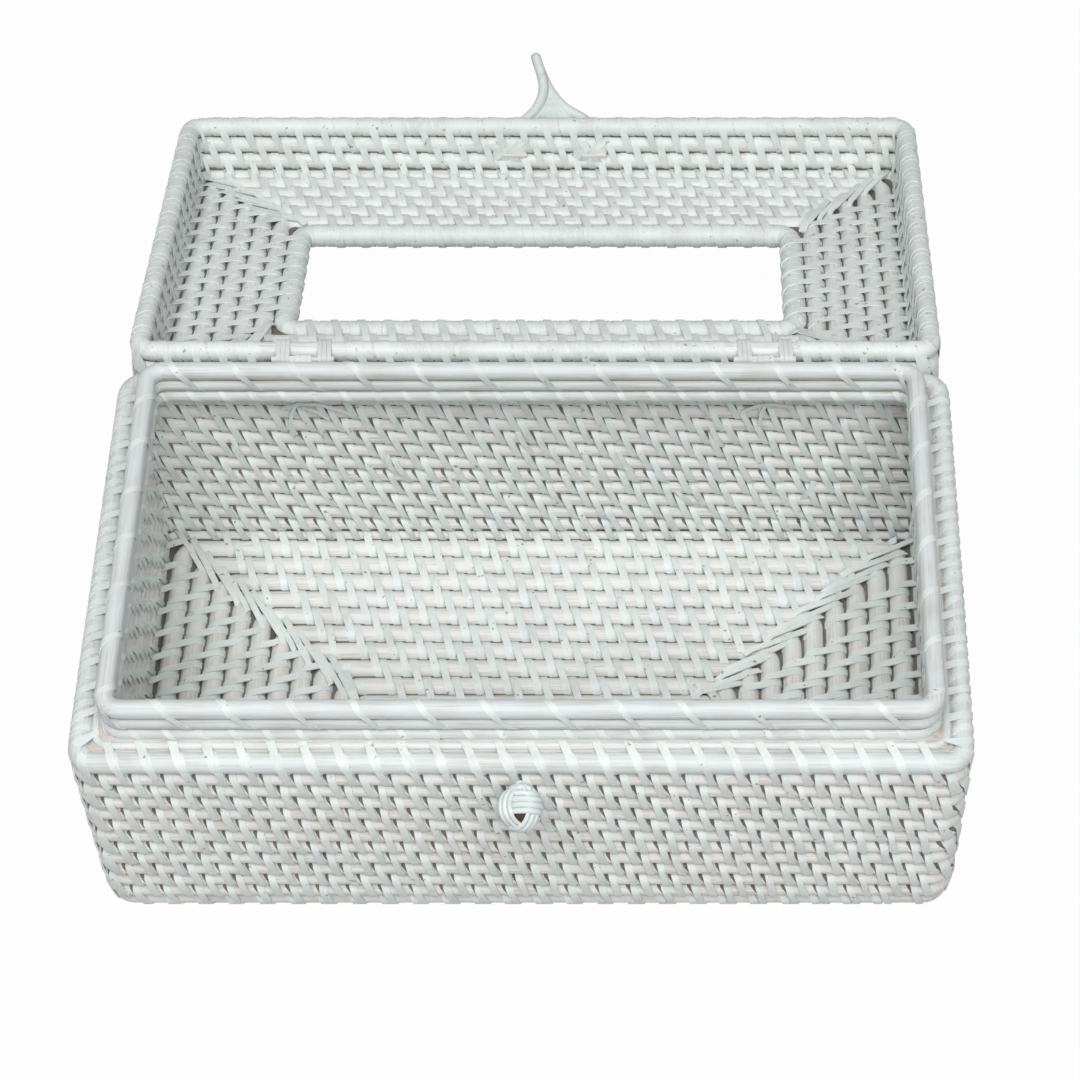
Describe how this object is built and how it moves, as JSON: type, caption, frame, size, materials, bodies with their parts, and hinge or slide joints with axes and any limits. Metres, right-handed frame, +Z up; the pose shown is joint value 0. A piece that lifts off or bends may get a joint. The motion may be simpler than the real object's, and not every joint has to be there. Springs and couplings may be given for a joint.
{
  "type": "tissue box with hinged lid",
  "caption": "Rectangular tissue box of white-washed coiled cane with a hinged lid standing open, a slot in the lid, an inner collar and a loop-and-button closure.",
  "frame": {"origin": "middle of the underside of the base, on the surface that the box stands on", "axes": "+Z up, +X to the right along the width, -Y towards the front with the button, +Y towards the hinge and the open lid"},
  "size_m": [0.28, 0.3719, 0.0989],
  "materials": {
    "wall_cane": "matte",
    "lid_cane": "matte",
    "rim_cane": "matte",
    "binding_cane": "matte",
    "inner_cane": "matte",
    "loop_cane": "matte"
  },
  "bodies": {
    "base": {"base_floor_core": "wall_cane", "base_floor_rod_01": "wall_cane", "base_floor_rod_02": "wall_cane", "base_floor_rod_03": "wall_cane", "base_floor_rod_04": "wall_cane", "base_floor_rod_05": "wall_cane", "base_floor_rod_06": "wall_cane", "base_floor_rod_07": "wall_cane", "base_floor_rod_08": "wall_cane", "base_floor_rod_09": "wall_cane", "base_wall_rod_01": "wall_cane", "base_wall_rod_02": "wall_cane", "base_wall_rod_03": "wall_cane", "base_wall_rod_04": "wall_cane", "base_wall_rod_05": "wall_cane", "base_wall_rod_06": "wall_cane", "base_wall_rod_07": "wall_cane", "base_wall_rod_08": "wall_cane", "base_wall_rod_09": "wall_cane", "base_wall_rod_10": "wall_cane", "base_wall_rod_11": "wall_cane", "base_wall_rod_12": "wall_cane", "base_rim_rod": "rim_cane", "seat_rod": "inner_cane", "collar_low_rod": "rim_cane", "collar_middle_rod": "rim_cane", "collar_top_rod": "rim_cane", "button_shank": "inner_cane", "button_knot": "binding_cane", "hinge_lashing_left": "binding_cane", "hinge_lashing_right": "binding_cane"},
    "lid": {"lid_rim_rod": "rim_cane", "lid_wall_rod_1": "lid_cane", "lid_wall_rod_2": "lid_cane", "lid_top_rod_1": "lid_cane", "lid_top_rod_2": "lid_cane", "lid_top_rod_3": "lid_cane", "lid_top_rod_4": "lid_cane", "lid_top_rod_5": "lid_cane", "lid_top_rod_6": "lid_cane", "slot_edge_rod": "lid_cane", "lid_lashing_left": "binding_cane", "lid_lashing_right": "binding_cane", "hinge_pin_left": "inner_cane", "hinge_pin_right": "inner_cane", "loop_peg_left": "inner_cane", "loop_peg_right": "inner_cane"},
    "loop": {"closure_loop": "loop_cane"}
  },
  "joints": [
    {"name": "lid_hinge", "type": "hinge", "parent": "base", "child": "lid", "pos_m": [0, 0.08355, 0.0867], "axis": [1, 0, 0], "range_deg": [0, 194]},
    {"name": "loop_swing", "type": "hinge", "parent": "lid", "child": "loop", "pos_m": [0.002, 0.24047, 0.03589], "axis": [-1, 0, 0], "range_deg": [0, 60]}
  ]
}
